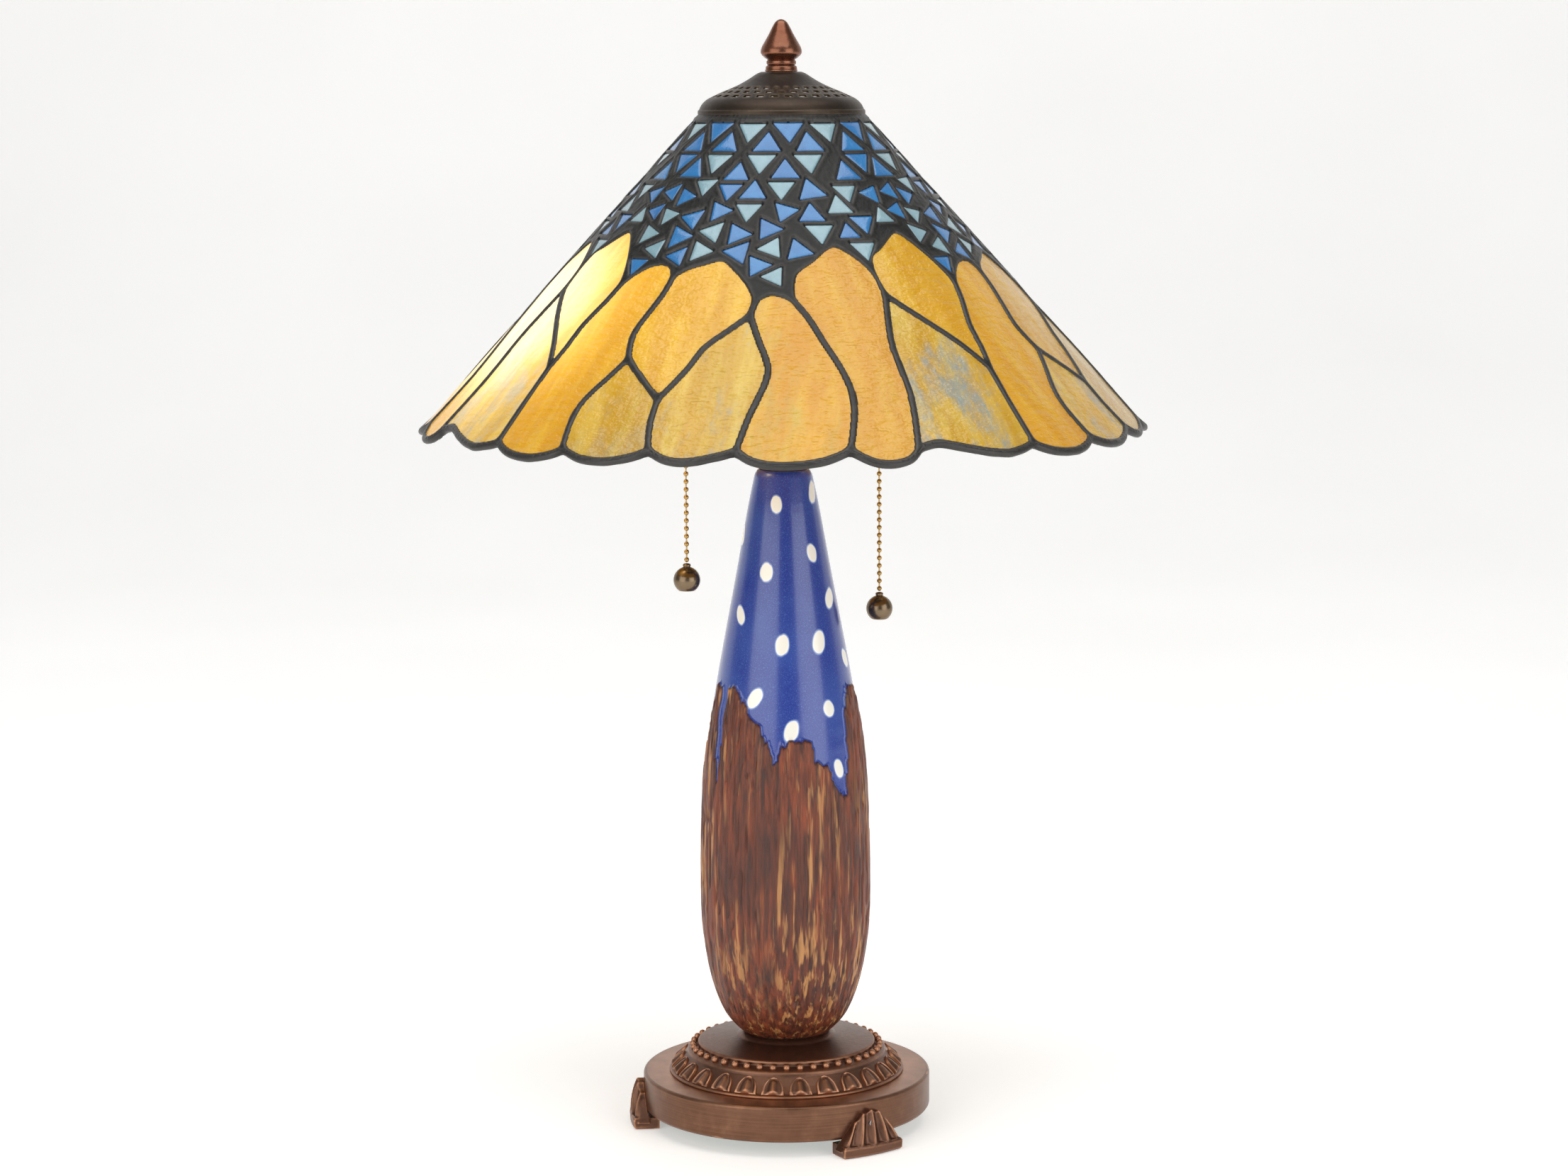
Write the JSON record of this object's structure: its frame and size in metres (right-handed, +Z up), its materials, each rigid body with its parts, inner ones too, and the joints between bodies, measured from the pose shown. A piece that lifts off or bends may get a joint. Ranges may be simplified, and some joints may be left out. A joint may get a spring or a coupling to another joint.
{
  "type": "stained glass table lamp",
  "caption": "Table lamp with a soldered glass cone shade of blue mosaic and amber petals, a glazed ceramic column with bark relief, a footed metal base and pull chains.",
  "frame": {"origin": "on the lamp's axis at the table, under the feet", "axes": "+Z up the column, front of the lamp towards -Y, +X to the right seen from the front"},
  "size_m": [0.4356, 0.4356, 0.6625],
  "materials": {
    "copper_plate": "circularly brushed copper-coloured plate",
    "antique_casting": "antique copper finish over cast metal",
    "cast_iron": "raw iron",
    "fibreboard": "pressed board",
    "felt": "green-grey felt",
    "steel": "zinc-plated steel",
    "brass": "aged brass",
    "ceramic": "cobalt glaze over a carved brown bark relief",
    "rubber": "black rubber",
    "copper": "polished copper",
    "fibre": "insulating paper sleeve",
    "phenolic": "black moulded phenolic",
    "bulb_metal": "tinned screw base",
    "bulb_glass": "frosted glass",
    "lead": "dark patinated solder",
    "amber_glass": "streaky amber art glass",
    "olive_glass": "streaky amber and olive art glass",
    "orange_glass": "streaky orange art glass",
    "blue_glass": "bright blue jewel glass",
    "pale_glass": "pale teal jewel glass",
    "cap_bronze": "black bronze patina",
    "antique_copper": "antique copper"
  },
  "bodies": {
    "stand": {"base_plate": "copper_plate", "base_plinth": "antique_casting", "ballast_weight": "cast_iron", "bottom_cover": "fibreboard", "base_felt": "felt", "front_foot": "antique_casting", "back_foot": "antique_casting", "left_foot": "antique_casting", "foot_screws": "steel", "cord_bushing": "rubber", "stem_nut": "brass", "stem_washer": "steel", "stem_pipe": "brass", "ceramic_column": "ceramic", "column_gasket": "rubber", "neck_gasket": "rubber", "neck_ring": "copper", "riser_tube": "brass", "cluster_body": "brass", "top_nipple": "brass", "seat_nut": "brass", "seat_washer": "steel", "left_arm": "brass", "left_socket_cap": "brass", "left_socket_shell": "brass", "left_socket_liner": "fibre", "left_switch_body": "phenolic", "left_screw_shell": "brass", "left_contact": "copper", "left_pull_guide": "brass", "right_arm": "brass", "right_socket_cap": "brass", "right_socket_shell": "brass", "right_socket_liner": "fibre", "right_switch_body": "phenolic", "right_screw_shell": "brass", "right_contact": "copper", "right_pull_guide": "brass"},
    "shade": {"front_leading": "lead", "right_leading": "lead", "back_leading": "lead", "left_leading": "lead", "upper_petal_glass": "amber_glass", "lower_petal_glass": "olive_glass", "tall_petal_glass": "orange_glass", "bright_jewels": "blue_glass", "pale_jewels": "pale_glass", "top_band": "lead", "shade_cap": "cap_bronze"},
    "finial": {"finial": "antique_copper"},
    "left_bulb": {"left_bulb_base": "bulb_metal", "left_bulb_glass": "bulb_glass"},
    "left_lever": {"left_pull_lever": "brass"},
    "left_chain": {"left_chain": "brass", "left_ball": "brass"},
    "right_bulb": {"right_bulb_base": "bulb_metal", "right_bulb_glass": "bulb_glass"},
    "right_lever": {"right_pull_lever": "brass"},
    "right_chain": {"right_chain": "brass", "right_ball": "brass"}
  },
  "joints": [
    {"name": "shade_turn", "type": "hinge", "parent": "stand", "child": "shade", "pos_m": [0, 0, 0.607], "axis": [0, 0, 1], "continuous": true},
    {"name": "finial_turn", "type": "hinge", "parent": "stand", "child": "finial", "pos_m": [0, 0, 0.632], "axis": [0, 0, 1], "continuous": true},
    {"name": "left_bulb_turn", "type": "hinge", "parent": "stand", "child": "left_bulb", "pos_m": [0, 0, 0.487], "axis": [-0.9511, -0.309, 0], "continuous": true},
    {"name": "left_pull", "type": "slide", "parent": "stand", "child": "left_lever", "axis": [0, 0, -1], "range_m": [0, 0.008], "stiffness_N_per_m": 400, "springref_m": -0.002},
    {"name": "left_swing", "type": "hinge", "parent": "left_lever", "child": "left_chain", "pos_m": [-0.05754, -0.0187, 0.4578], "axis": [-0.9511, -0.309, 0], "range_deg": [-30, 30]},
    {"name": "right_bulb_turn", "type": "hinge", "parent": "stand", "child": "right_bulb", "pos_m": [0, 0, 0.487], "axis": [0.9511, 0.309, 0], "continuous": true},
    {"name": "right_pull", "type": "slide", "parent": "stand", "child": "right_lever", "axis": [0, 0, -1], "range_m": [0, 0.008], "stiffness_N_per_m": 400, "springref_m": -0.002},
    {"name": "right_swing", "type": "hinge", "parent": "right_lever", "child": "right_chain", "pos_m": [0.05754, 0.0187, 0.4578], "axis": [0.9511, 0.309, 0], "range_deg": [-30, 30]}
  ]
}
